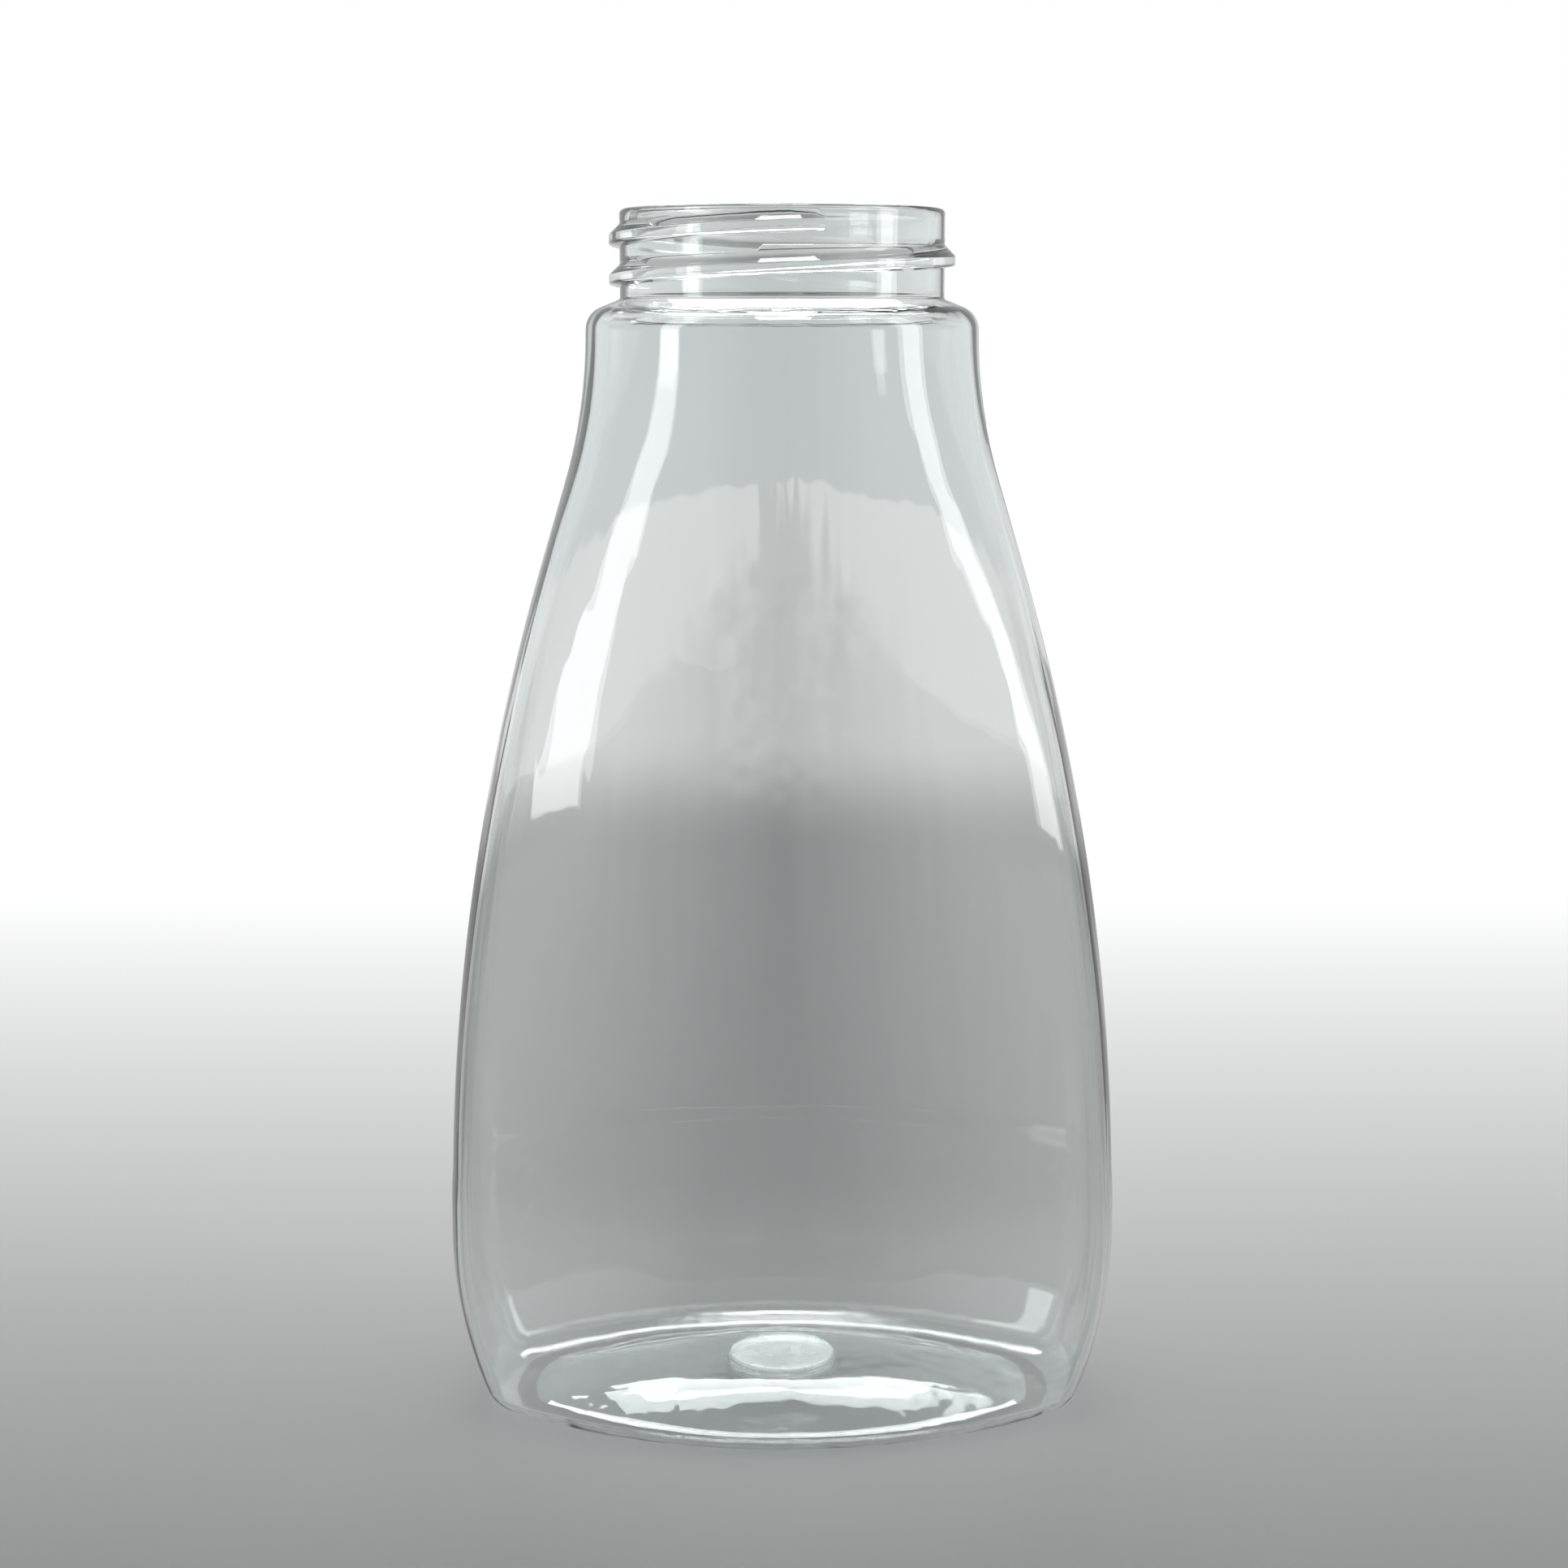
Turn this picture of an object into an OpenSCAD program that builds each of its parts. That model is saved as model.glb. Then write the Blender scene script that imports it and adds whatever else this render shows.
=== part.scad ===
// Clear oval squeeze bottle with a screw neck: one thin-walled blown moulding,
// cut into the zones that shape it, from the sealing rim down to the gate disc.
// Millimetres. The foot stands on z = 0, the wide sides face +X and -X, and
// the front faces -Y.

/* [Body] */
// Greatest width, between the two side walls
body_w = 75.2; // [72:0.2:80]
// Greatest depth, between the front and back walls
body_d = 47; // [45:0.2:50]
// Height of the widest level, where the outline stands upright
waist_z = 20; // [18:0.5:22]
// Radius of the long swelling curve in the side outline
side_r = 262; // [250:1:280]
// Radius of the hollow curve that leads the side outline into the shoulder
throat_r = 56; // [45:1:70]
// Radius of the corners between the front wall and the side walls
corner_r = 7; // [6:0.5:8]
// Height at which the corners begin to soften towards the round shoulder
soften_z = 72; // [66:1:80]
// Wall thickness of the body, heel and foot
body_wall = 0.6; // [0.5:0.05:0.8]

/* [Label panel] */
// Height at which the ledge under the label panel begins
ledge_z0 = 24.3; // [23:0.1:25]
// Height at which the ledge ends and the label panel begins
ledge_z1 = 28; // [27:0.1:30]
// Height of the upper end of the label panel
panel_z1 = 86; // [82:1:92]
// How far the panel is sunk in the front and back walls
panel_recess = 0.35; // [0.2:0.05:0.5]
// How far the panel is sunk in the side walls
side_recess = 0.1; // [0.05:0.05:0.2]

/* [Heel and base] */
// Radius of the heel curve in the side outline
heel_side_r = 47; // [44:1:52]
// Radius of the heel curve in the front outline
heel_front_r = 86; // [78:1:95]
// Radius of the small turn from the heel into the flat foot
foot_r = 4.2; // [3.6:0.1:5]
// Radius of the corners of the foot, seen from below
foot_corner_r = 5.6; // [4.6:0.1:7]
// Width of the flat ring that the bottle stands on
foot_w = 2.2; // [1.8:0.1:2.8]
// Height that the base rises inside the foot ring, to the gate disc
push_up_h = 2.7; // [2:0.1:4]
// Radius of the gate disc in the middle of the base
disc_r = 6; // [5:0.1:7]
// Height that the gate disc stands above the base inside
disc_step = 0.7; // [0.5:0.1:1.2]
// Thickness of the base beside the gate disc
base_wall = 0.9; // [0.8:0.05:1.2]

/* [Neck] */
// Overall height, to the top of the sealing rim
total_h = 133.4; // [132:0.2:136]
// Outer diameter of the neck wall under the thread
neck_od = 35.1; // [34.7:0.1:35.5]
// Wall thickness of the neck
neck_wall_t = 1.2; // [1:0.05:1.5]
// Height from the foot of the neck to the top of the rim
finish_h = 9.65; // [9.5:0.05:10]
// Height of the sealing rim
rim_h = 1.2; // [1:0.1:1.4]
// Radius of the rim's outer edge
rim_edge_r = 0.5; // [0.3:0.05:0.6]
// Outer diameter of the round shoulder
shoulder_od = 42.6; // [42:0.1:43]
// Radius of the shoulder's outer corner
shoulder_r = 2.6; // [2.2:0.1:3]
// Fall of the shoulder from the neck out to that corner, in degrees
shoulder_slope = 19; // [15:1:22]
// Wall thickness of the shoulder
shoulder_wall = 1.1; // [0.9:0.05:1.2]

/* [Thread] */
// Diameter over the thread crest
thread_od = 37.4; // [37.1:0.1:37.7]
// Pitch of the single right-hand thread: six turns to the inch
thread_pitch = 4.233; // [4.1:0.001:4.3]
// Width of the thread crest
crest_w = 1.1; // [0.9:0.05:1.2]
// Slope of the lower flank, which a closure pulls against, in degrees
lower_flank = 10; // [5:1:15]
// Slope of the upper flank, in degrees
upper_flank = 45; // [40:1:45]
// Depth of the crest's lower edge under the rim, where the thread crosses +X
thread_drop = 6; // [5.9:0.05:6.1]
// Bearing at which the thread starts, at the back of the neck
thread_start = -215; // [-220:1:-200]
// Bearing at which the thread ends, right of the middle of the front
thread_end = 284; // [276:1:290]

/* [Hidden] */

// The plastic is clear; the gate disc is hazy, and the thread reads a little darker
clear_plastic = [0.82, 0.87, 0.86, 0.35];
thread_plastic = [0.74, 0.81, 0.82, 0.5];
hazy_plastic = [0.93, 0.95, 0.94, 0.7];

// Facets of the round neck, and steps along each curve of the outline
ROUND = 96;
EDGE_STEPS = 5;
SHOULDER_STEPS = 8;
BODY_STEPS = 9;
PANEL_STEPS = 7;
LEDGE_STEPS = 4;
HEEL_STEPS = 5;
FOOT_STEPS = 7;
PUSH_UP_STEPS = 10;

// Neck and shoulder, as radii and heights
neck_r = neck_od / 2;
bore_r = neck_r - neck_wall_t;
neck_z = total_h - finish_h;
rim_z = total_h - rim_h;
shoulder_top_r = shoulder_od / 2;
slope_fall = (shoulder_top_r - shoulder_r - neck_r) * tan(shoulder_slope);
shoulder_z = neck_z - slope_fall - shoulder_r / cos(shoulder_slope);
bore_z = neck_z + neck_wall_t * tan(shoulder_slope) - shoulder_wall / cos(shoulder_slope);

// Half width and half depth of the body under the label panel
half_w = body_w / 2;
half_d = body_d / 2;

// Each level of the body has a section of three arcs a quarter. The angles are
// the turn of the wall away from the front: the front arc ends at FRONT_TURN,
// the corner arc at SIDE_TURN and the side arc at 90 degrees.
FRONT_TURN = 36.5;
SIDE_TURN = 74.5;
FRONT_STEPS = 7;
CORNER_STEPS = 4;
SIDE_STEPS = 3;

// Bearings of the wall's outward normal, from the +X side once round
quarter = concat(
    [for (i = [0:SIDE_STEPS - 1]) (90 - SIDE_TURN) * i / SIDE_STEPS],
    [for (i = [0:CORNER_STEPS - 1]) 90 - SIDE_TURN + (SIDE_TURN - FRONT_TURN) * i / CORNER_STEPS],
    [for (i = [0:FRONT_STEPS - 1]) 90 - FRONT_TURN + FRONT_TURN * i / FRONT_STEPS]
);
mirrored = concat([90], [for (i = [len(quarter) - 1:-1:1]) 180 - quarter[i]]);
bearings = concat(quarter, mirrored, [for (n = quarter) n + 180], [for (n = mirrored) n + 180]);

// Radii of the front and side arcs that close a quarter of half width a and
// half depth b round a corner arc of radius r
function arc_radii(a, b, r) =
    let (
        across = a - r * (sin(SIDE_TURN) - sin(FRONT_TURN)),
        along = b - r * (cos(FRONT_TURN) - cos(SIDE_TURN)),
        front = [sin(FRONT_TURN), 1 - cos(FRONT_TURN)],
        side = [1 - sin(SIDE_TURN), cos(SIDE_TURN)],
        det = front[0] * side[1] - side[0] * front[1]
    )
    [(across * side[1] - side[0] * along) / det, (front[0] * along - front[1] * across) / det];

// Point of the section where its outward normal has bearing n
function section_point(a, b, r, n) =
    let (
        radii = arc_radii(a, b, r),
        turn = acos(abs(sin(n))),
        front = min(turn, FRONT_TURN),
        corner = max(min(turn, SIDE_TURN), FRONT_TURN),
        side = max(turn, SIDE_TURN),
        across = radii[0] * sin(front) + r * (sin(corner) - sin(FRONT_TURN))
            + radii[1] * (sin(side) - sin(SIDE_TURN)),
        drop = radii[0] * (1 - cos(front)) + r * (cos(FRONT_TURN) - cos(corner))
            + radii[1] * (cos(SIDE_TURN) - cos(side))
    )
    [sign(cos(n)) * across, sign(sin(n)) * (b - drop)];

function section(a, b, r) = [for (n = bearings) section_point(a, b, r, n)];

function lerp(u, low, high) = low + (high - low) * u;
function share(z, low, high) = max(0, min(1, (z - low) / (high - low)));
function ease(u) = u * u * (3 - 2 * u);
function levels(low, high, steps) = [for (i = [0:steps]) lerp(i / steps, low, high)];
function reversed(list) = [for (i = [len(list) - 1:-1:0]) list[i]];

// Triangles that join each ring of points to the next, the last one to ring 0 if closed
function ring_faces(rings, count, closed) = [
    for (i = [0:(closed ? rings : rings - 1) - 1]) for (j = [0:count - 1])
        let (
            here = i * count,
            next = (i + 1) % rings * count,
            k = (j + 1) % count
        )
        each [[here + j, here + k, next + k], [here + j, next + k, next + j]]
];

// A ring of wall: each station is [half width, half depth, corner radius,
// height], listed down the outside and back up the inside
module wall_loop(stations) {
    points = [for (s = stations) for (p = section(s[0], s[1], s[2])) [p[0], p[1], s[3]]];
    polyhedron(points, ring_faces(len(stations), len(bearings), true), convexity = 4);
}

// Side outline of the label panel and above: the swelling curve, a straight
// tangent, and the hollow curve that ends upright at the shoulder
swell_c = [half_w - side_recess - side_r, waist_z];
hollow_c = [shoulder_top_r + throat_r, shoulder_z];
between = hollow_c - swell_c;
tangent_turn = atan2(between[1], between[0]) - acos((side_r + throat_r) / norm(between));
tangent = [cos(tangent_turn), sin(tangent_turn)];
swell_end = swell_c + side_r * tangent;
hollow_start = hollow_c - throat_r * tangent;

function panel_half_w(z) =
    z < swell_end[1] ? swell_c[0] + sqrt(pow(side_r, 2) - pow(z - waist_z, 2))
    : z > hollow_start[1] ? hollow_c[0] - sqrt(pow(throat_r, 2) - pow(shoulder_z - z, 2))
    : lerp(share(z, swell_end[1], hollow_start[1]), swell_end[0], hollow_start[0]);

// Front outline of the same zones: one long curve up to the shoulder
front_fall = half_d - panel_recess - shoulder_top_r;
front_rise = shoulder_z - waist_z;
front_r = (pow(front_rise, 2) + pow(front_fall, 2)) / (2 * front_fall);

function panel_half_d(z) = half_d - panel_recess - front_r + sqrt(pow(front_r, 2) - pow(z - waist_z, 2));

// Higher up the corners soften into the round shoulder, and the wall thickens
function corner_at(z) = lerp(ease(share(z, soften_z, shoulder_z)), corner_r, shoulder_top_r);
function wall_at(z) = lerp(ease(share(z, panel_z1, shoulder_z)), body_wall, shoulder_wall);

// Station at height z, moved in by t and out by the share proud of the panel's recess
function body_station(z, t, proud = 0) = [
    panel_half_w(z) + side_recess * proud - t,
    panel_half_d(z) + panel_recess * proud - t,
    corner_at(z) - t,
    z
];

function body_stations(heights) = concat(
    [for (z = reversed(heights)) body_station(z, 0)],
    [for (z = heights) body_station(z, wall_at(z))]
);

// Heel outline under the waist, for half size w and heel radius r: the heel
// curve, then the foot curve, which runs flat into the foot ring
function foot_half(w, r) = w - r + sqrt(pow(r - foot_r, 2) - pow(waist_z - foot_r, 2));
function heel_turn(w, r) = atan2(waist_z - foot_r, foot_half(w, r) - w + r);
function heel_half(w, r, z, t) =
    z > waist_z - (r - t) * sin(heel_turn(w, r)) ? w - r + sqrt(pow(r - t, 2) - pow(waist_z - z, 2))
    : foot_half(w, r) + sqrt(max(0, pow(foot_r - t, 2) - pow(foot_r - z, 2)));

function heel_station(z, t) = [
    heel_half(half_w, heel_side_r, z, t),
    heel_half(half_d, heel_front_r, z, t),
    lerp(share(z, t, waist_z), foot_corner_r, corner_r) - t * sqrt(1 - pow(1 - share(z, t, foot_r), 2)),
    z
];

// Station heights of the heel: evenly round the foot curve, then up to the waist
FOOT_CURVE_TURN = 65;
function foot_level(i, t) = foot_r - (foot_r - t) * cos(FOOT_CURVE_TURN * i / FOOT_STEPS);
function heel_levels(t) = concat(
    [for (i = [0:FOOT_STEPS - 1]) foot_level(i, t)],
    levels(foot_level(FOOT_STEPS, t), waist_z, HEEL_STEPS)
);

// Foot ring, and the stations of the push-up that rises from its inner edge
foot_a = foot_half(half_w, heel_side_r);
foot_b = foot_half(half_d, heel_front_r);

function push_up_station(u, t) = [
    lerp(u, foot_a - foot_w, disc_r),
    lerp(u, foot_b - foot_w, disc_r),
    lerp(u, foot_corner_r - foot_w, disc_r),
    push_up_h * sin(90 * u) + t
];

// Thread ridge: its height, how deep its root sits in the neck, and the bearings it grows over
crest_h = thread_od / 2 - neck_r;
ROOT_SINK = 0.05;
RIDGE_STEP = 6;
START_GROWTH = 40;
END_GROWTH = 8;
END_SHARE = 0.35;
START_SHARE = 0.05;
ridge_steps = round((thread_end - thread_start) / RIDGE_STEP);

function ridge_share(n) = min(
    lerp(ease(share(n, thread_start, thread_start + START_GROWTH)), START_SHARE, 1),
    lerp(share(thread_end - n, 0, END_GROWTH), END_SHARE, 1)
);

// Section of the ridge at bearing n, from its upper root to its lower root
function ridge_section(n) =
    let (
        h = crest_h * ridge_share(n),
        z = total_h - thread_drop + thread_pitch * n / 360,
        root = [neck_r - ROOT_SINK, h + ROOT_SINK]
    )
    [for (p = [
        [root[0], z + crest_w + root[1] * tan(upper_flank)],
        [neck_r + h, z + crest_w],
        [neck_r + h, z],
        [root[0], z - root[1] * tan(lower_flank)]
    ]) [p[0] * cos(n), p[0] * sin(n), p[1]]];

// Flat ring at the top of the neck that a closure seals on
module sealing_rim() {
    edge_c = [neck_r - rim_edge_r, total_h - rim_edge_r];
    color(clear_plastic)
        rotate_extrude($fn = ROUND)
            polygon(concat(
                [[bore_r, total_h], [bore_r, rim_z], [neck_r, rim_z]],
                [for (n = levels(0, 90, EDGE_STEPS)) edge_c + rim_edge_r * [cos(n), sin(n)]]
            ));
}

// Plain tube under the rim, round the mouth's bore
module neck_wall() {
    color(clear_plastic)
        translate([0, 0, neck_z])
            difference() {
                cylinder(r = neck_r, h = rim_z - neck_z, $fn = ROUND);
                translate([0, 0, -1])
                    cylinder(r = bore_r, h = rim_z - neck_z + 2, $fn = ROUND);
            }
}

// Screw thread: one ridge, wound 1.4 times round the neck
module neck_thread() {
    corners = 4;
    last = ridge_steps * corners;
    points = [for (n = levels(thread_start, thread_end, ridge_steps)) each ridge_section(n)];
    faces = concat(
        [[3, 2, 1, 0]],
        ring_faces(ridge_steps + 1, corners, false),
        [[last, last + 1, last + 2, last + 3]]
    );
    color(thread_plastic)
        polyhedron(points, faces, convexity = 6);
}

// Round shoulder under the neck: a sloping ledge, then a corner into the body
module shoulder() {
    arc_c = [shoulder_top_r - shoulder_r, shoulder_z];
    turns = levels(0, 90 - shoulder_slope, SHOULDER_STEPS);
    color(clear_plastic)
        rotate_extrude($fn = ROUND)
            polygon(concat(
                [for (n = turns) arc_c + shoulder_r * [cos(n), sin(n)]],
                [[neck_r, neck_z], [bore_r, neck_z], [bore_r, bore_z]],
                [for (n = reversed(turns)) arc_c + (shoulder_r - shoulder_wall) * [cos(n), sin(n)]]
            ));
}

// Tapering upper part, from the oval panel to the round shoulder
module upper_body() {
    color(clear_plastic)
        wall_loop(body_stations(levels(panel_z1, shoulder_z, BODY_STEPS)));
}

// Smooth oval panel that a label goes round
module label_panel() {
    color(clear_plastic)
        wall_loop(body_stations(levels(ledge_z1, panel_z1, PANEL_STEPS)));
}

// Soft step under the panel, which protects the label's lower edge
module panel_ledge() {
    shares = levels(0, 1, LEDGE_STEPS);
    function at(u, t) = body_station(lerp(u, ledge_z0, ledge_z1), t, 1 - ease(u));
    color(clear_plastic)
        wall_loop(concat([for (u = reversed(shares)) at(u, 0)], [for (u = shares) at(u, body_wall)]));
}

// Rounded heel, from under the ledge down and in to the foot
module heel() {
    color(clear_plastic)
        wall_loop(concat(
            [body_station(ledge_z0, 0, 1)],
            [for (z = reversed(heel_levels(0))) heel_station(z, 0)],
            [for (z = heel_levels(body_wall)) heel_station(z, body_wall)],
            [body_station(ledge_z0, body_wall, 1)]
        ));
}

// Flat oval ring that the bottle stands on
module foot_ring() {
    color(clear_plastic)
        linear_extrude(body_wall)
            difference() {
                polygon(section(foot_a, foot_b, foot_corner_r));
                polygon(section(foot_a - foot_w, foot_b - foot_w, foot_corner_r - foot_w));
            }
}

// Base inside the foot ring, domed up towards the middle
module push_up() {
    shares = levels(0, 1, PUSH_UP_STEPS);
    color(clear_plastic)
        wall_loop(concat(
            [for (u = shares) push_up_station(u, 0)],
            [for (u = reversed(shares)) push_up_station(u, lerp(u, body_wall, base_wall))]
        ));
}

// Thick hazy disc in the middle of the base, where the plastic was fed in
module gate_disc() {
    color(hazy_plastic)
        translate([0, 0, push_up_h])
            linear_extrude(base_wall + disc_step)
                polygon(section(disc_r, disc_r, disc_r));
}

sealing_rim();
neck_wall();
neck_thread();
shoulder();
upper_body();
label_panel();
panel_ledge();
heel();
foot_ring();
push_up();
gate_disc();
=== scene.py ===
import bpy
import bmesh
from math import acos, atan2, cos, hypot, pi, radians, sin, sqrt, tan
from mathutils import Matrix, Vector


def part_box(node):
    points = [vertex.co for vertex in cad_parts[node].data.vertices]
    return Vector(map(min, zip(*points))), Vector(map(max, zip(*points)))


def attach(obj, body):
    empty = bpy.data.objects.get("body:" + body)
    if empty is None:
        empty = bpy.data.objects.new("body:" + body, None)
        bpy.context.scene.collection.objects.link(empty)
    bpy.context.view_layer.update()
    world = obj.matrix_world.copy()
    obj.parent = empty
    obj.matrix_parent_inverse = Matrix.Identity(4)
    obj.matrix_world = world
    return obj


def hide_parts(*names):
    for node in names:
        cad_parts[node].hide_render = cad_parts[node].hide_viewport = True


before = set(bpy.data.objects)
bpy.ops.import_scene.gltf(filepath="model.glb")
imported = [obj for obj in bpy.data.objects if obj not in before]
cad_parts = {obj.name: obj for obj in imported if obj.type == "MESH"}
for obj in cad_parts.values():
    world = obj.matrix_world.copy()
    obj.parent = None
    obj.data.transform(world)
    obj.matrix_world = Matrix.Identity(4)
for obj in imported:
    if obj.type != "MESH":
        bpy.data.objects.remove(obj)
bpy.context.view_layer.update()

# Bottle
# One seamless stretch-blown moulding of clear polyester. It is drawn as one
# closed skin, from the middle of the underside, up the outside, over the rim
# and down the inside, so that light bends at real surfaces only.
MM = 0.001
HALF_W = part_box("heel")[1].x
HALF_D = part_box("heel")[1].y
WAIST_Z = 20 * MM
LEDGE_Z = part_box("panel_ledge")[0].z
PANEL_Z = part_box("panel_ledge")[1].z
THICKEN_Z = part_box("upper_body")[0].z
SHOULDER_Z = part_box("upper_body")[1].z
NECK_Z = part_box("neck_wall")[0].z
RIM_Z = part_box("sealing_rim")[1].z
SOFTEN_Z = 72 * MM
SIDE_R = 262 * MM
THROAT_R = 56 * MM
CORNER_R = 7 * MM
PANEL_RECESS = 0.35 * MM
SIDE_RECESS = 0.1 * MM
HEEL_SIDE_R = 47 * MM
HEEL_FRONT_R = 86 * MM
FOOT_R = 4.2 * MM
FOOT_CORNER_R = 5.6 * MM
FOOT_W = 2.2 * MM
FOOT_TURN = radians(65)
PUSH_UP_H = 2.7 * MM
DISC_R = 6 * MM
DISC_STEP = 0.7 * MM
EDGE_R = 0.3 * MM
NECK_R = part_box("neck_wall")[1].x
NECK_ROOT_R = 0.35 * MM
SHOULDER_TOP_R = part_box("shoulder")[1].x
SHOULDER_R = 2.6 * MM
SHOULDER_SLOPE = radians(19)
RIM_EDGE_R = 0.5 * MM
BORE_LIP_W = 0.15 * MM
BORE_LIP_H = 0.05 * MM
BODY_WALL = 0.6 * MM
BASE_WALL = 0.9 * MM
SHOULDER_WALL = 1.1 * MM
NECK_WALL = 1.2 * MM

# Each level of the body has a section of three arcs a quarter: the front arc
# ends at FRONT_TURN, the corner arc at SIDE_TURN, the side arc at 90 degrees.
FRONT_TURN = radians(36.5)
SIDE_TURN = radians(74.5)
FRONT_STEPS = 12
CORNER_STEPS = 12
SIDE_STEPS = 5
PANEL_STEPS = 44
CENTRE_RING_R = 0.4 * MM


def even(low, high, steps):
    return [low + (high - low) * i / steps for i in range(steps + 1)]


def share(value, low, high):
    return max(0, min(1, (value - low) / (high - low)))


def ease(u):
    return u * u * (3 - 2 * u)


def mix(u, low, high):
    return low + (high - low) * u


quarter = even(0, pi / 2 - SIDE_TURN, SIDE_STEPS)[:-1]
quarter += even(pi / 2 - SIDE_TURN, pi / 2 - FRONT_TURN, CORNER_STEPS)[:-1]
quarter += even(pi / 2 - FRONT_TURN, pi / 2, FRONT_STEPS)[:-1]
half_turn = quarter + [pi / 2] + [pi - bearing for bearing in reversed(quarter[1:])]
BEARINGS = half_turn + [bearing + pi for bearing in half_turn]


def section(half_w, half_d, corner_r, z):
    """Points of the oval section with this half width, half depth and corner radius at height z."""
    across = half_w - corner_r * (sin(SIDE_TURN) - sin(FRONT_TURN))
    along = half_d - corner_r * (cos(FRONT_TURN) - cos(SIDE_TURN))
    front = (sin(FRONT_TURN), 1 - cos(FRONT_TURN))
    side = (1 - sin(SIDE_TURN), cos(SIDE_TURN))
    det = front[0] * side[1] - side[0] * front[1]
    front_r = (across * side[1] - side[0] * along) / det
    side_r = (front[0] * along - front[1] * across) / det
    points = []
    for bearing in BEARINGS:
        turn = acos(min(1, abs(sin(bearing))))
        in_front = min(turn, FRONT_TURN)
        in_corner = max(min(turn, SIDE_TURN), FRONT_TURN)
        in_side = max(turn, SIDE_TURN)
        x = (
            front_r * sin(in_front)
            + corner_r * (sin(in_corner) - sin(FRONT_TURN))
            + side_r * (sin(in_side) - sin(SIDE_TURN))
        )
        drop = (
            front_r * (1 - cos(in_front))
            + corner_r * (cos(FRONT_TURN) - cos(in_corner))
            + side_r * (cos(SIDE_TURN) - cos(in_side))
        )
        right = 1 if cos(bearing) > 0 else -1
        back = 1 if sin(bearing) > 0 else -1
        points.append(Vector((x * right, (half_d - drop) * back, z)))
    return points


# Side outline of the label panel and above: a bulging arc, a straight stretch
# that touches both arcs, and a hollow arc. The front outline is a single arc.
swell_centre = (HALF_W - SIDE_RECESS - SIDE_R, WAIST_Z)
hollow_centre = (SHOULDER_TOP_R + THROAT_R, SHOULDER_Z)
gap = (hollow_centre[0] - swell_centre[0], hollow_centre[1] - swell_centre[1])
touch_turn = atan2(gap[1], gap[0]) - acos((SIDE_R + THROAT_R) / hypot(*gap))
swell_end = (swell_centre[0] + SIDE_R * cos(touch_turn), swell_centre[1] + SIDE_R * sin(touch_turn))
hollow_start = (
    hollow_centre[0] - THROAT_R * cos(touch_turn),
    hollow_centre[1] - THROAT_R * sin(touch_turn),
)
front_fall = HALF_D - PANEL_RECESS - SHOULDER_TOP_R
front_rise = SHOULDER_Z - WAIST_Z
front_outline_r = (front_rise**2 + front_fall**2) / (2 * front_fall)


def panel_half_w(z):
    if z < swell_end[1]:
        return swell_centre[0] + sqrt(SIDE_R**2 - (z - WAIST_Z) ** 2)
    if z > hollow_start[1]:
        return hollow_centre[0] - sqrt(THROAT_R**2 - (SHOULDER_Z - z) ** 2)
    return mix(share(z, swell_end[1], hollow_start[1]), swell_end[0], hollow_start[0])


def body_station(z, inside, proud=0):
    """Station at height z on the outer or inner wall, proud of the panel's recess by a share."""
    wall = inside * mix(ease(share(z, THICKEN_Z, SHOULDER_Z)), BODY_WALL, SHOULDER_WALL)
    half_d = HALF_D - PANEL_RECESS - front_outline_r + sqrt(front_outline_r**2 - (z - WAIST_Z) ** 2)
    corner = mix(ease(share(z, SOFTEN_Z, SHOULDER_Z)), CORNER_R, SHOULDER_TOP_R)
    return (
        panel_half_w(z) + SIDE_RECESS * proud - wall,
        half_d + PANEL_RECESS * proud - wall,
        corner - wall,
        z,
    )


# Heel outline under the waist: one large arc that runs into the small arc of
# the foot. Like the swell of the panel, it has its centre at WAIST_Z.
def foot_half(waist_half, heel_r):
    return waist_half - heel_r + sqrt((heel_r - FOOT_R) ** 2 - (WAIST_Z - FOOT_R) ** 2)


foot_half_w = foot_half(HALF_W, HEEL_SIDE_R)
foot_half_d = foot_half(HALF_D, HEEL_FRONT_R)


def heel_half(waist_half, heel_r, z, wall):
    foot_centre = foot_half(waist_half, heel_r)
    meet = WAIST_Z - (heel_r - wall) * sin(atan2(WAIST_Z - FOOT_R, foot_centre - waist_half + heel_r))
    if z > meet:
        return waist_half - heel_r + sqrt((heel_r - wall) ** 2 - (WAIST_Z - z) ** 2)
    return foot_centre + sqrt(max(0, (FOOT_R - wall) ** 2 - (FOOT_R - z) ** 2))


def heel_station(z, wall):
    corner = mix(share(z, wall, WAIST_Z), FOOT_CORNER_R, CORNER_R)
    lean = sqrt(1 - (1 - share(z, wall, FOOT_R)) ** 2)
    return (
        heel_half(HALF_W, HEEL_SIDE_R, z, wall),
        heel_half(HALF_D, HEEL_FRONT_R, z, wall),
        corner - wall * lean,
        z,
    )


def heel_heights(wall):
    foot = [FOOT_R - (FOOT_R - wall) * cos(turn) for turn in even(0, FOOT_TURN, steps=12)]
    return foot[:-1] + even(foot[-1], WAIST_Z, steps=12)


def push_up_station(u, wall):
    """Station of the domed base, from the foot ring at u = 0 to the gate disc at u = 1."""
    return (
        mix(u, foot_half_w - FOOT_W, DISC_R),
        mix(u, foot_half_d - FOOT_W, DISC_R),
        mix(u, FOOT_CORNER_R - FOOT_W, DISC_R),
        PUSH_UP_H * sin(pi / 2 * u) + wall * mix(u, BODY_WALL, BASE_WALL),
    )


def round_station(r, z):
    return (r, r, r, z)


def round_arc(r, z, radius, start, end, steps):
    """Stations round an edge whose arc has its centre at radius r and height z."""
    return [round_station(r + radius * cos(t), z + radius * sin(t)) for t in even(start, end, steps)]


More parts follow.
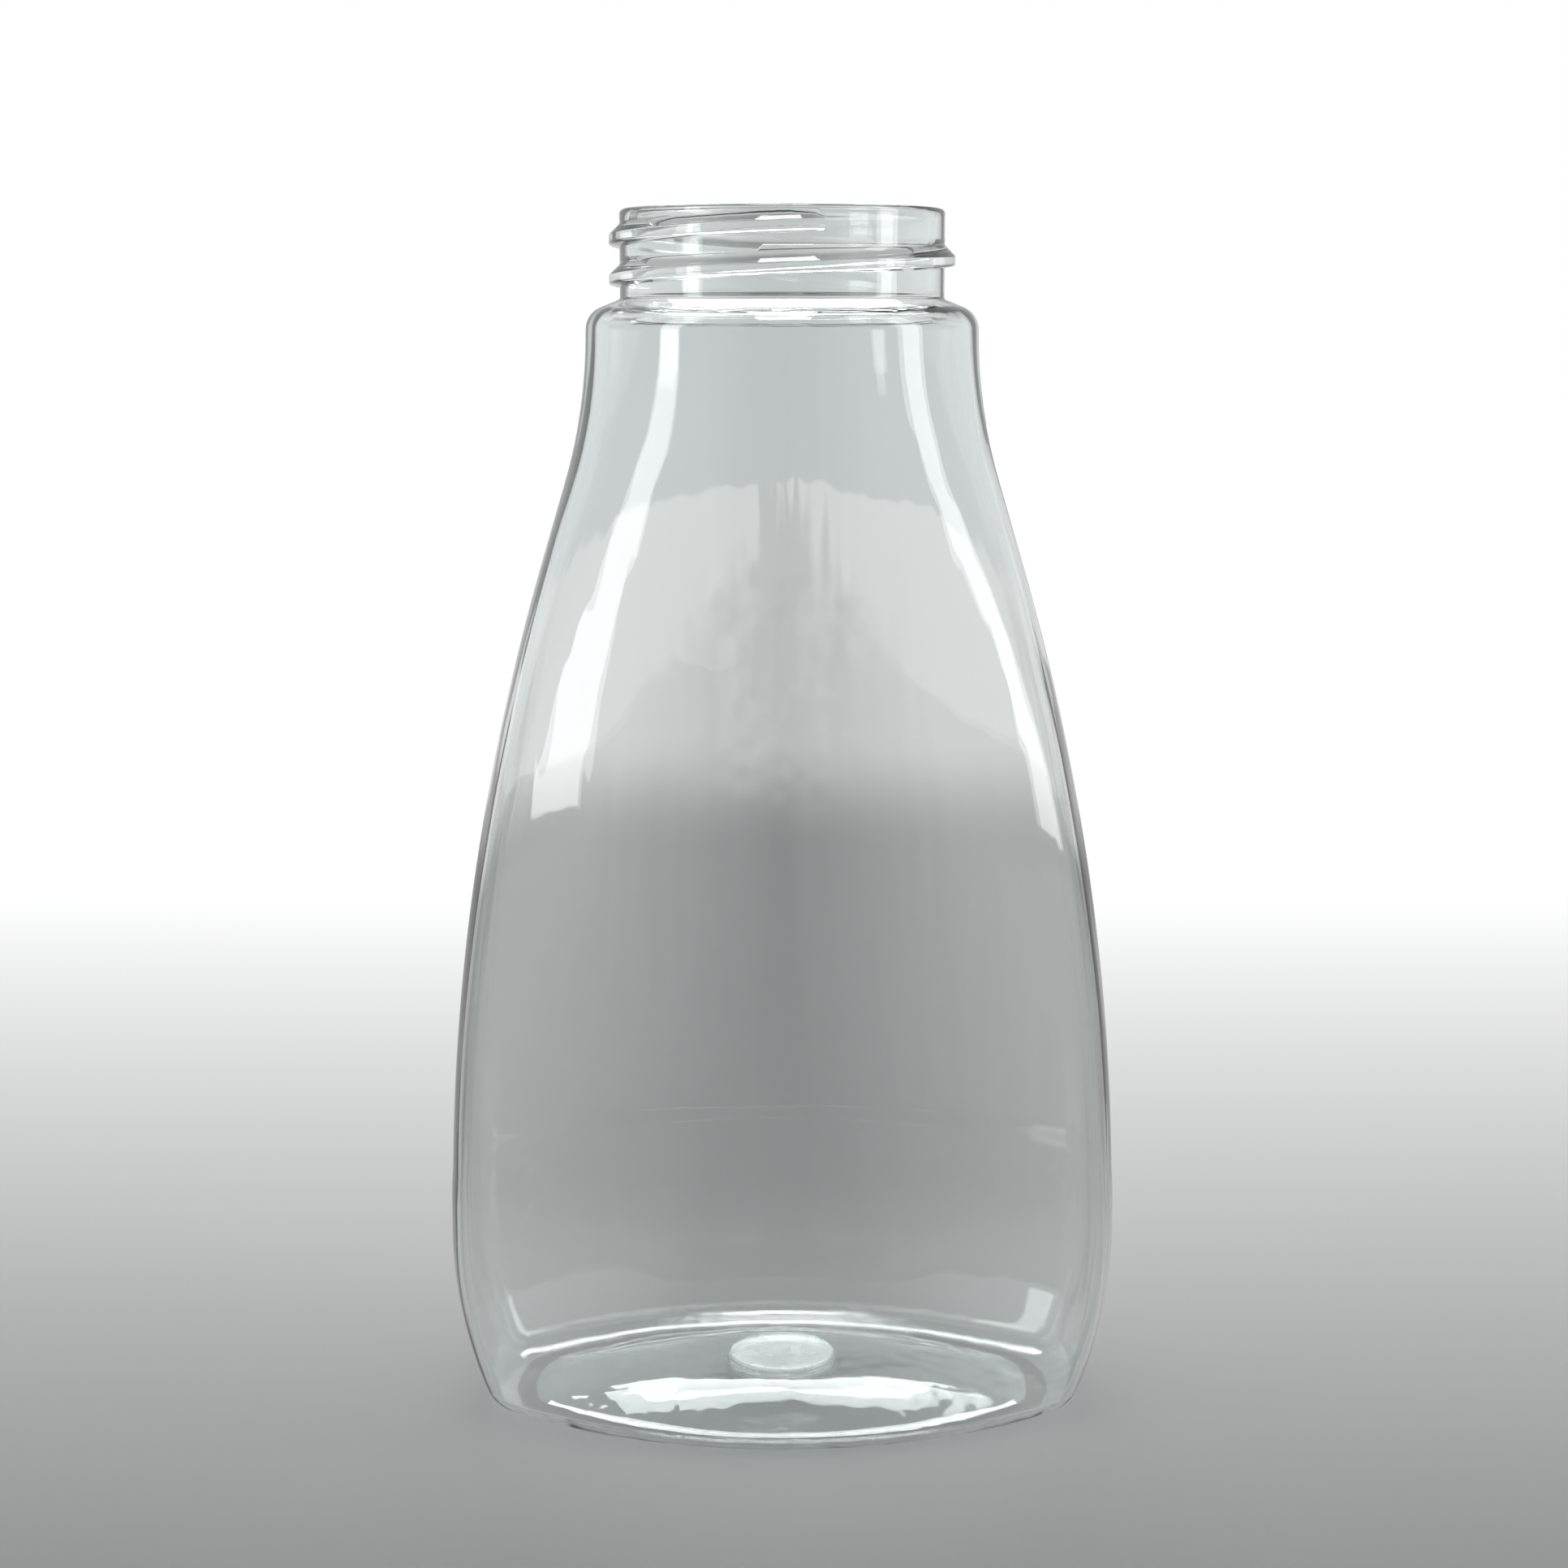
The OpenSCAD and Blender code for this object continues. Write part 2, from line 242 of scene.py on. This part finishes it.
push_up_shares = even(0, 1, steps=16)
ledge_shares = even(0, 1, steps=10)
panel_heights = even(PANEL_Z, SHOULDER_Z, PANEL_STEPS)
slope_end = pi / 2 - SHOULDER_SLOPE
shoulder_centre = (SHOULDER_TOP_R - SHOULDER_R, SHOULDER_Z)
bore_r = NECK_R - NECK_WALL
bore_z = NECK_Z + NECK_WALL * tan(SHOULDER_SLOPE) - SHOULDER_WALL / cos(SHOULDER_SLOPE)
disc_root_z = PUSH_UP_H + BASE_WALL
disc_z = disc_root_z + DISC_STEP

outside = [round_station(r, PUSH_UP_H) for r in even(CENTRE_RING_R, DISC_R, steps=4)]
outside += [push_up_station(u, 0) for u in reversed(push_up_shares[:-1])]
outside += [heel_station(z, 0) for z in heel_heights(0)]
outside += [body_station(LEDGE_Z, 0, 1)]
outside += [body_station(mix(u, LEDGE_Z, PANEL_Z), 0, 1 - ease(u)) for u in ledge_shares[1:]]
outside += [body_station(z, 0) for z in panel_heights[1:]]
outside += round_arc(*shoulder_centre, SHOULDER_R, 0, slope_end, steps=10)[1:]
outside += round_arc(NECK_R + NECK_ROOT_R, NECK_Z + NECK_ROOT_R, NECK_ROOT_R, pi + slope_end, pi, steps=4)
outside += [round_station(NECK_R, z) for z in even(NECK_Z + NECK_ROOT_R, RIM_Z - RIM_EDGE_R, steps=10)[1:]]
outside += round_arc(NECK_R - RIM_EDGE_R, RIM_Z - RIM_EDGE_R, RIM_EDGE_R, 0, pi / 2, steps=5)[1:]

inside = round_arc(bore_r + EDGE_R, RIM_Z - EDGE_R, EDGE_R, pi / 2, pi, steps=4)
inside += [round_station(bore_r, z) for z in even(RIM_Z - EDGE_R, bore_z + EDGE_R, steps=10)[1:]]
inside += [round_station(bore_r + BORE_LIP_W, bore_z + BORE_LIP_H)]
inside += round_arc(*shoulder_centre, SHOULDER_R - SHOULDER_WALL, slope_end, 0, steps=8)
inside += [body_station(z, 1) for z in reversed(panel_heights[:-1])]
inside += [body_station(mix(u, LEDGE_Z, PANEL_Z), 1, 1 - ease(u)) for u in reversed(ledge_shares[:-1])]
inside += [heel_station(z, BODY_WALL) for z in reversed(heel_heights(BODY_WALL))]
inside += [push_up_station(u, 1) for u in push_up_shares[:-1]]
inside += round_arc(DISC_R + EDGE_R / 2, disc_root_z + EDGE_R / 2, EDGE_R / 2, -pi / 2, -pi, steps=3)
inside += round_arc(DISC_R - EDGE_R, disc_z - EDGE_R, EDGE_R, 0, pi / 2, steps=4)
inside += [round_station(r, disc_z) for r in even(DISC_R - EDGE_R, CENTRE_RING_R, steps=5)[1:]]


def ring_edges(bm, ring):
    return [bm.edges.get((ring[i - 1], ring[i])) for i in range(len(ring))]


def grow_ring(bm, ring, points):
    """Extrudes a closed ring of vertices and sets the new ring on the points."""
    made = bmesh.ops.extrude_edge_only(bm, edges=ring_edges(bm, ring))["geom"]
    new = {v for v in made if isinstance(v, bmesh.types.BMVert)}
    grown = [next(e.other_vert(v) for e in v.link_edges if e.other_vert(v) in new) for v in ring]
    for v, point in zip(grown, points):
        v.co = point
    return grown


def skin(bm, outlines):
    """Closed skin through a list of outlines, with its first and last ring capped."""
    ring = bmesh.ops.create_circle(bm, cap_ends=True, segments=len(outlines[0]), radius=1)["verts"]
    for v, point in zip(ring, outlines[0]):
        v.co = point
    for outline in outlines[1:]:
        ring = grow_ring(bm, ring, outline)
    bmesh.ops.contextual_create(bm, geom=ring_edges(bm, ring))
    bmesh.ops.recalc_face_normals(bm, faces=bm.faces)


def smooth_faces(mesh):
    for face in mesh.polygons:
        face.use_smooth = True


def smooth_object(name, bm):
    mesh = bpy.data.meshes.new(name)
    bm.to_mesh(mesh)
    bm.free()
    smooth_faces(mesh)
    obj = bpy.data.objects.new(name, mesh)
    bpy.context.scene.collection.objects.link(obj)
    return obj


shell = bmesh.new()
skin(shell, [section(*station) for station in outside + inside])
bottle = smooth_object("bottle", shell)

# The clear plastic has slow waves and upright streaks from blowing. In the
# front wall some of it is gathered, and strings are drawn up from there.
POLYESTER_IOR = 1.57
CLEAR_COLOUR = (0.93, 0.955, 0.95, 1)
SHADOW_COLOUR = (0.84, 0.86, 0.86, 1)
WAVE_DEPTH = 0.5 * MM
GATHER_PLACE = (-1 * MM, -HALF_D, 87 * MM)
GATHER_REACH = (14 * MM, 14 * MM, 20 * MM)
STRING_PLACE = (1 * MM, -HALF_D, 108 * MM)
STRING_REACH = (13 * MM, 14 * MM, 24 * MM)
FULL_SHARE = 0.3


def flow_waves():
    """Node group: heights of the slow waves, upright streaks and gathered ripple of a blown wall."""
    group = bpy.data.node_groups.new("flow_waves", "ShaderNodeTree")
    for name in ("Streaks", "Gather"):
        group.interface.new_socket(name, in_out="INPUT", socket_type="NodeSocketFloat")
    group.interface.new_socket("Height", in_out="OUTPUT", socket_type="NodeSocketFloat")
    nodes, link = group.nodes, group.links.new
    given = nodes.new("NodeGroupInput")
    out = nodes.new("NodeGroupOutput")
    place = nodes.new("ShaderNodeTexCoord").outputs["Object"]

    def noise(scale, detail, upright):
        """Noise whose scale up the wall is a share of its scale across it."""
        squeeze = nodes.new("ShaderNodeMapping")
        squeeze.inputs["Scale"].default_value = (1, 1, upright)
        link(place, squeeze.inputs["Vector"])
        texture = nodes.new("ShaderNodeTexNoise")
        texture.inputs["Scale"].default_value = scale
        texture.inputs["Detail"].default_value = detail
        link(squeeze.outputs["Vector"], texture.inputs["Vector"])
        return texture.outputs["Fac"]

    def near(centre, reach):
        """Mask that is 1 at a place on the wall and fades to 0 at the reach from it."""
        shift = nodes.new("ShaderNodeMapping")
        shift.vector_type = "TEXTURE"
        shift.inputs["Location"].default_value = centre
        shift.inputs["Scale"].default_value = reach
        link(place, shift.inputs["Vector"])
        away = nodes.new("ShaderNodeVectorMath")
        away.operation = "LENGTH"
        link(shift.outputs["Vector"], away.inputs[0])
        fade = nodes.new("ShaderNodeMapRange")
        fade.interpolation_type = "SMOOTHSTEP"
        fade.inputs["From Min"].default_value = FULL_SHARE
        fade.inputs["To Min"].default_value = 1
        fade.inputs["To Max"].default_value = 0
        link(away.outputs["Value"], fade.inputs["Value"])
        return fade.outputs["Result"]

    def combine(operation, *values):
        step = nodes.new("ShaderNodeMath")
        step.operation = operation
        for value, socket in zip(values, step.inputs):
            link(value, socket)
        return step.outputs[0]

    waves = noise(scale=45, detail=1, upright=0.6)
    streaks = noise(scale=120, detail=2, upright=0.1)
    ripple = noise(scale=130, detail=2, upright=0.7)
    strings = noise(scale=170, detail=2, upright=0.09)
    gathered = combine("MULTIPLY", near(GATHER_PLACE, GATHER_REACH), given.outputs["Gather"])
    drawn = combine("MULTIPLY", near(STRING_PLACE, STRING_REACH), given.outputs["Gather"])
    height = combine("MULTIPLY_ADD", streaks, given.outputs["Streaks"], waves)
    height = combine("MULTIPLY_ADD", ripple, gathered, height)
    height = combine("MULTIPLY_ADD", strings, drawn, height)
    link(height, out.inputs["Height"])
    return group


def polyester(name, colour, passes):
    """Polyester material that lets a share of the light through, with its Principled shader."""
    material = bpy.data.materials.new(name)
    material.use_nodes = True
    shader = material.node_tree.nodes["Principled BSDF"]
    shader.inputs["Base Color"].default_value = colour
    shader.inputs["IOR"].default_value = POLYESTER_IOR
    shader.inputs["Transmission Weight"].default_value = passes
    return material, shader


def cloud_roughness(material, shader, scale, detail, clouds, dullness):
    """Roughness from clouds of noise: their range of values gives the range of dullness."""
    nodes, links = material.node_tree.nodes, material.node_tree.links
    coord = nodes.new("ShaderNodeTexCoord")
    noise = nodes.new("ShaderNodeTexNoise")
    noise.inputs["Scale"].default_value = scale
    noise.inputs["Detail"].default_value = detail
    links.new(coord.outputs["Object"], noise.inputs["Vector"])
    dull = nodes.new("ShaderNodeMapRange")
    dull.inputs["From Min"].default_value, dull.inputs["From Max"].default_value = clouds
    dull.inputs["To Min"].default_value, dull.inputs["To Max"].default_value = dullness
    links.new(noise.outputs["Fac"], dull.inputs["Value"])
    links.new(dull.outputs["Result"], shader.inputs["Roughness"])


clear, clear_shader = polyester("clear_polyester", CLEAR_COLOUR, passes=1)
nodes, links = clear.node_tree.nodes, clear.node_tree.links
flow = nodes.new("ShaderNodeGroup")
flow.node_tree = flow_waves()
flow.inputs["Streaks"].default_value = 0.35
flow.inputs["Gather"].default_value = 0.9
bump = nodes.new("ShaderNodeBump")
bump.inputs["Strength"].default_value = 1
bump.inputs["Distance"].default_value = WAVE_DEPTH
links.new(flow.outputs["Height"], bump.inputs["Height"])
links.new(bump.outputs["Normal"], clear_shader.inputs["Normal"])
cloud_roughness(clear, clear_shader, scale=60, detail=6, clouds=(0.5, 0.8), dullness=(0.02, 0.09))
path = nodes.new("ShaderNodeLightPath")
shadow = nodes.new("ShaderNodeBsdfTransparent")
shadow.inputs["Color"].default_value = SHADOW_COLOUR
either = nodes.new("ShaderNodeMixShader")
links.new(path.outputs["Is Shadow Ray"], either.inputs["Fac"])
links.new(clear_shader.outputs["BSDF"], either.inputs[1])
links.new(shadow.outputs["BSDF"], either.inputs[2])
links.new(either.outputs["Shader"], nodes["Material Output"].inputs["Surface"])

# Screw thread of the bottle
# A single right-hand ridge, part of the same moulding. Its crest is rounded,
# it grows out of the neck at the back, and ends bluntly in front.
THREAD_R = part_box("neck_thread")[1].x
THREAD_PITCH = 4.233 * MM
CREST_W = 1.1 * MM
CREST_ROUND = 0.3 * MM
CREST_TUCK = 0.4
THREAD_DROP = 6 * MM
LOWER_FLANK = radians(10)
UPPER_FLANK = radians(45)
THREAD_START = -215
THREAD_END = 284
THREAD_STEPS = 166
GROW_DEGREES = 40
END_DEGREES = 14
START_H_SHARE = 0.04
END_H_SHARE = 0.3
ROOT_SINK = 0.3 * MM
SHARP_ANGLE = radians(50)


def ridge_outline(bearing):
    """Outline of the ridge at a bearing in degrees, sunk into the neck wall."""
    grown = ease(share(bearing, THREAD_START, THREAD_START + GROW_DEGREES))
    left = share(THREAD_END - bearing, 0, END_DEGREES)
    h = (THREAD_R - NECK_R) * mix(grown, START_H_SHARE, 1) * mix(sqrt(left), END_H_SHARE, 1)
    z = RIM_Z - THREAD_DROP + THREAD_PITCH * bearing / 360
    r = CREST_ROUND * min(1, h / CREST_ROUND / 2)
    arc_r = NECK_R + h - r
    top_z = z + CREST_W - r * CREST_TUCK
    corners = [(NECK_R - ROOT_SINK, z - (h + ROOT_SINK) * tan(LOWER_FLANK))]
    corners += [(arc_r + r * cos(t), z + r + r * sin(t)) for t in even(-pi / 2 + LOWER_FLANK, 0, steps=4)]
    corners += [(arc_r + r * cos(t), top_z + r * sin(t)) for t in even(0, UPPER_FLANK, steps=3)]
    corners += [(NECK_R - ROOT_SINK, z + CREST_W + (h + ROOT_SINK) * tan(UPPER_FLANK))]
    turn = radians(bearing)
    return [Vector((corner[0] * cos(turn), corner[0] * sin(turn), corner[1])) for corner in corners]


ridge = bmesh.new()
skin(ridge, [ridge_outline(bearing) for bearing in even(THREAD_START, THREAD_END, THREAD_STEPS)])
thread = smooth_object("thread", ridge)
join = bottle.modifiers.new("thread", "BOOLEAN")
join.operation = "UNION"
join.solver = "EXACT"
join.object = thread
joined = bpy.data.meshes.new_from_object(bottle.evaluated_get(bpy.context.evaluated_depsgraph_get()))
bottle.modifiers.clear()
bottle.data = joined
bpy.data.objects.remove(thread)
smooth_faces(bottle.data)
bottle.data.set_sharp_from_angle(angle=SHARP_ANGLE)
bottle.data.name = "bottle"
bottle.data.materials.clear()
bottle.data.materials.append(clear)

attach(bottle, "root")
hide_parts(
    "sealing_rim", "neck_wall", "neck_thread", "shoulder", "upper_body", "label_panel",
    "panel_ledge", "heel", "foot_ring", "push_up", "gate_disc",
)

# Gate disc of the bottle
# The thick spot where the plastic was fed in. It cooled slowly and is milky.
# It is part of the same skin, so only its faces get a material of their own.
GATE_COLOUR = (0.95, 0.965, 0.965, 1)
GATE_MATERIAL = 1
milky, milky_shader = polyester("milky_gate", GATE_COLOUR, passes=0.9)
cloud_roughness(milky, milky_shader, scale=260, detail=2, clouds=(0, 1), dullness=(0.12, 0.4))
bottle.data.materials.append(milky)
for face in bottle.data.polygons:
    spot = face.center
    if hypot(spot.x, spot.y) < DISC_R and spot.z < disc_z + EDGE_R:
        face.material_index = GATE_MATERIAL

# Floor
# A pale sweep of card whose painted light, a glow that grows towards the back, falls off
# into grey towards the camera. What the plastic bends or reflects is a darker copy of the
# card, painted shade, with painted light glowing to both sides.
FLOOR_HALF = 3
CARD_FRONT = 0.18
CARD_BACK = 0.175
# Painted shade: CARD_SHADED darkens the card that the plastic bends or reflects.
CARD_SHADED = 0.14
HORIZON = (0.33, 0.5)
# Painted light: the darker copy glows towards the far edge, to both sides and near the foot.
HORIZON_GLOW = (0.035, 0.6)
SIDE_GLOW = 0.16
FOOT_GLOW = 0.07
floor_bm = bmesh.new()
bmesh.ops.create_grid(floor_bm, x_segments=1, y_segments=1, size=FLOOR_HALF)
floor = smooth_object("floor", floor_bm)
card = bpy.data.materials.new("floor_card")
card.use_nodes = True
nodes, links = card.node_tree.nodes, card.node_tree.links
nodes.remove(nodes["Principled BSDF"])
coord = nodes.new("ShaderNodeTexCoord")
split = nodes.new("ShaderNodeSeparateXYZ")
links.new(coord.outputs["Object"], split.inputs["Vector"])
sideways = nodes.new("ShaderNodeMath")
sideways.operation = "ABSOLUTE"
links.new(split.outputs["X"], sideways.inputs[0])


def fade(along, start, end, low, high, shape="SMOOTHSTEP"):
    """A value that changes from low to high as the one given goes from start to end."""
    ramp = nodes.new("ShaderNodeMapRange")
    ramp.interpolation_type = shape
    ramp.inputs["From Min"].default_value = start
    ramp.inputs["From Max"].default_value = end
    ramp.inputs["To Min"].default_value = low
    ramp.inputs["To Max"].default_value = high
    links.new(along, ramp.inputs["Value"])
    return ramp.outputs["Result"]


def total(first, *rest):
    for value in rest:
        add = nodes.new("ShaderNodeMath")
        links.new(first, add.inputs[0])
        links.new(value, add.inputs[1])
        first = add.outputs[0]
    return first


def painted_glow_card(shade, glow):
    """Matt card that also glows by itself: its glow is painted light, in place of a lit sweep."""
    matt = nodes.new("ShaderNodeBsdfDiffuse")
    links.new(shade, matt.inputs["Color"])
    shine = nodes.new("ShaderNodeEmission")
    links.new(glow, shine.inputs["Strength"])
    both = nodes.new("ShaderNodeAddShader")
    links.new(matt.outputs["BSDF"], both.inputs[0])
    links.new(shine.outputs["Emission"], both.inputs[1])
    return both.outputs["Shader"]


depth, aside = split.outputs["Y"], sideways.outputs[0]
# Painted shade: the card seen through or in the plastic is a darker copy.
shaded_card = fade(depth, *HORIZON, CARD_SHADED, 0)
# Painted light on that copy: it glows towards the far edge, to both sides and near the foot.
shaded_glow = total(
    fade(depth, *HORIZON, *HORIZON_GLOW),
    fade(aside, 0.01, 0.05, 0, SIDE_GLOW, "LINEAR"),
    fade(depth, 0.03, 0.085, FOOT_GLOW, 0),
)
# Card seen directly: nearly even matt grey, with painted light, a glow from none in front to full at the
# back.
plain_card = fade(depth, -0.2, 0.1, CARD_FRONT, CARD_BACK)
plain_glow = fade(depth, -0.05, 0.4, 0, 1, "LINEAR")
path = nodes.new("ShaderNodeLightPath")
seen = nodes.new("ShaderNodeMixShader")
links.new(path.outputs["Is Camera Ray"], seen.inputs["Fac"])
links.new(painted_glow_card(shaded_card, shaded_glow), seen.inputs[1])
links.new(painted_glow_card(plain_card, plain_glow), seen.inputs[2])
links.new(seen.outputs["Shader"], nodes["Material Output"].inputs["Surface"])
floor.data.materials.append(card)

# Studio light
# White surroundings behind, and greyer room light for what the plastic reflects
# and bends. Tall softboxes stand at both sides, one hangs overhead, one is behind.
ROOM_COLOUR = (0.97, 1, 1, 1)
BACKDROP_COLOUR = (1, 1, 1, 1)
ROOM_STRENGTH = 0.62
SIDE_STRENGTH = 1.15
SIDE_START = 0.25
SIDE_END = 0.95
world = bpy.data.worlds.new("studio")
bpy.context.scene.world = world
world.use_nodes = True
nodes, links = world.node_tree.nodes, world.node_tree.links
room = nodes["Background"]
room.inputs["Color"].default_value = ROOM_COLOUR
coord = nodes.new("ShaderNodeTexCoord")
split = nodes.new("ShaderNodeSeparateXYZ")
links.new(coord.outputs["Generated"], split.inputs["Vector"])
sideways = nodes.new("ShaderNodeMath")
sideways.operation = "ABSOLUTE"
links.new(split.outputs["X"], sideways.inputs[0])
strength = fade(sideways.outputs[0], SIDE_START, SIDE_END, ROOM_STRENGTH, SIDE_STRENGTH)
links.new(strength, room.inputs["Strength"])
backdrop = nodes.new("ShaderNodeBackground")
backdrop.inputs["Color"].default_value = BACKDROP_COLOUR
path = nodes.new("ShaderNodeLightPath")
seen = nodes.new("ShaderNodeMixShader")
links.new(path.outputs["Is Camera Ray"], seen.inputs["Fac"])
links.new(room.outputs["Background"], seen.inputs[1])
links.new(backdrop.outputs["Background"], seen.inputs[2])
links.new(seen.outputs["Shader"], nodes["World Output"].inputs["Surface"])


def softbox(name, place, aim, width, height, watts):
    light = bpy.data.lights.new(name, "AREA")
    light.shape = "RECTANGLE"
    light.size = width
    light.size_y = height
    light.energy = watts
    lamp = bpy.data.objects.new(name, light)
    lamp.location = place
    lamp.rotation_euler = (Vector(aim) - Vector(place)).to_track_quat("-Z", "Y").to_euler()
    bpy.context.scene.collection.objects.link(lamp)


softbox("left_box", place=(-0.55, -0.25, 0.3), aim=(0, 0, 0.08), width=0.16, height=0.6, watts=0.9)
softbox("right_box", place=(0.55, -0.1, 0.3), aim=(0, 0, 0.08), width=0.16, height=0.6, watts=0.9)
softbox("top_box", place=(0, -0.1, 0.9), aim=(0, 0, 0), width=0.35, height=0.3, watts=4)
softbox("back_box", place=(0, 0.75, 0.72), aim=(0, 0, 0.1), width=0.5, height=0.35, watts=5)

# Camera
# A short telephoto view from a little above, level with the shoulder. Its
# focal length is given as a share of the picture's width.
CAMERA_ASIDE = 0.2 * MM
CAMERA_BACK = 301 * MM
CAMERA_UP = 121.5 * MM
CAMERA_PITCH = radians(9.6)
CAMERA_CLIP = 10 * MM
FOCAL_SHARE = 3370 / 1932
SENSOR_W = 36
camera_data = bpy.data.cameras.new("camera")
camera_data.sensor_width = SENSOR_W
camera_data.lens = SENSOR_W * FOCAL_SHARE
camera_data.clip_start = CAMERA_CLIP
camera = bpy.data.objects.new("camera", camera_data)
camera.location = (CAMERA_ASIDE, -CAMERA_BACK, CAMERA_UP)
camera.rotation_euler = (pi / 2 - CAMERA_PITCH, 0, 0)
bpy.context.scene.collection.objects.link(camera)
bpy.context.scene.camera = camera
bpy.context.scene.view_settings.view_transform = "Standard"
